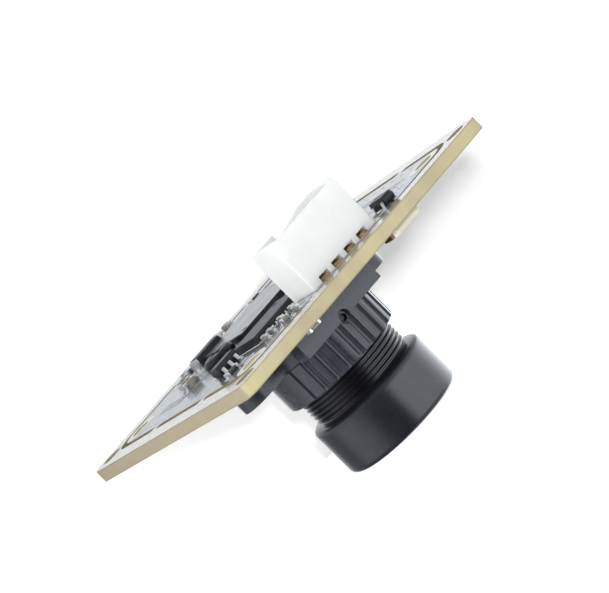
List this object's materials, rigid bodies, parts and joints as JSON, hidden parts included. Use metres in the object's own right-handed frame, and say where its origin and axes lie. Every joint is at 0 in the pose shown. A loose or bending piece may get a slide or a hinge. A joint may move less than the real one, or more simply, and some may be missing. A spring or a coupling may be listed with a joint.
{
  "type": "board camera module",
  "caption": "Board camera: square circuit board with a moulded lens holder, a focusing threaded lens, a white plug socket and surface-mounted chips.",
  "frame": {"origin": "centre of the lens's front face, below the middle of the board", "axes": "+Z along the lens axis from the lens towards the chip side of the board, +X and +Y along the board's edges, the plug socket on the -Y side"},
  "size_m": [0.038, 0.038, 0.0235],
  "materials": {
    "board": "pale solder mask over glass laminate, satin",
    "holder_plastic": "glass-filled black moulding, satin",
    "black_steel": "blackened steel, satin",
    "bright_steel": "plain steel",
    "black_aluminium": "black anodised, satin",
    "filter_glass": "coated blue-green glass",
    "ceramic": "fired ceramic, matt",
    "silicon": "polished silicon",
    "cover_glass": "clear glass",
    "white_nylon": "white nylon, satin",
    "tinned_metal": "tinned, bright",
    "chip_epoxy": "moulded epoxy, matt",
    "cream_plastic": "cream moulding, satin",
    "copper": "dark copper",
    "capacitor_ceramic": "tan ceramic",
    "resistor_ceramic": "dark glazed ceramic",
    "lens_glass": "coated optical glass"
  },
  "bodies": {
    "root": {"circuit_board": "board", "lens_holder": "holder_plastic", "holder_screws": "black_steel", "set_screw": "bright_steel", "ir_filter": "filter_glass", "sensor_package": "ceramic", "sensor_die": "silicon", "sensor_glass": "cover_glass", "socket_housing": "white_nylon", "socket_pins": "tinned_metal", "processor_chip": "chip_epoxy", "processor_pads": "tinned_metal", "memory_chip": "chip_epoxy", "memory_pads": "tinned_metal", "regulator_body": "chip_epoxy", "regulator_legs": "tinned_metal", "transistor_body": "chip_epoxy", "transistor_legs": "tinned_metal", "diode_body": "chip_epoxy", "diode_clips": "tinned_metal", "choke_body": "cream_plastic", "choke_clips": "copper", "capacitor_bodies": "capacitor_ceramic", "capacitor_ends": "tinned_metal", "resistor_bodies": "resistor_ceramic", "resistor_ends": "tinned_metal"},
    "glass_stack": {"front_element": "lens_glass", "front_spacer": "black_aluminium", "middle_element": "lens_glass", "stop_spacer": "black_aluminium", "rear_element": "lens_glass", "retaining_ring": "black_aluminium"},
    "lens": {"lens_barrel": "black_aluminium"}
  },
  "joints": [
    {"name": "focus_travel", "type": "slide", "parent": "root", "child": "glass_stack", "axis": [0, 0, 1], "range_m": [-0.0005, 0.0005]},
    {"name": "focus_turn", "type": "hinge", "parent": "glass_stack", "child": "lens", "pos_m": [0, 0, 0.0127], "axis": [0, 0, 1], "range_deg": [-360, 360]}
  ],
  "couplings": [
    {"joint": "focus_turn", "follows": "focus_travel", "rad_per_m": 12566}
  ]
}
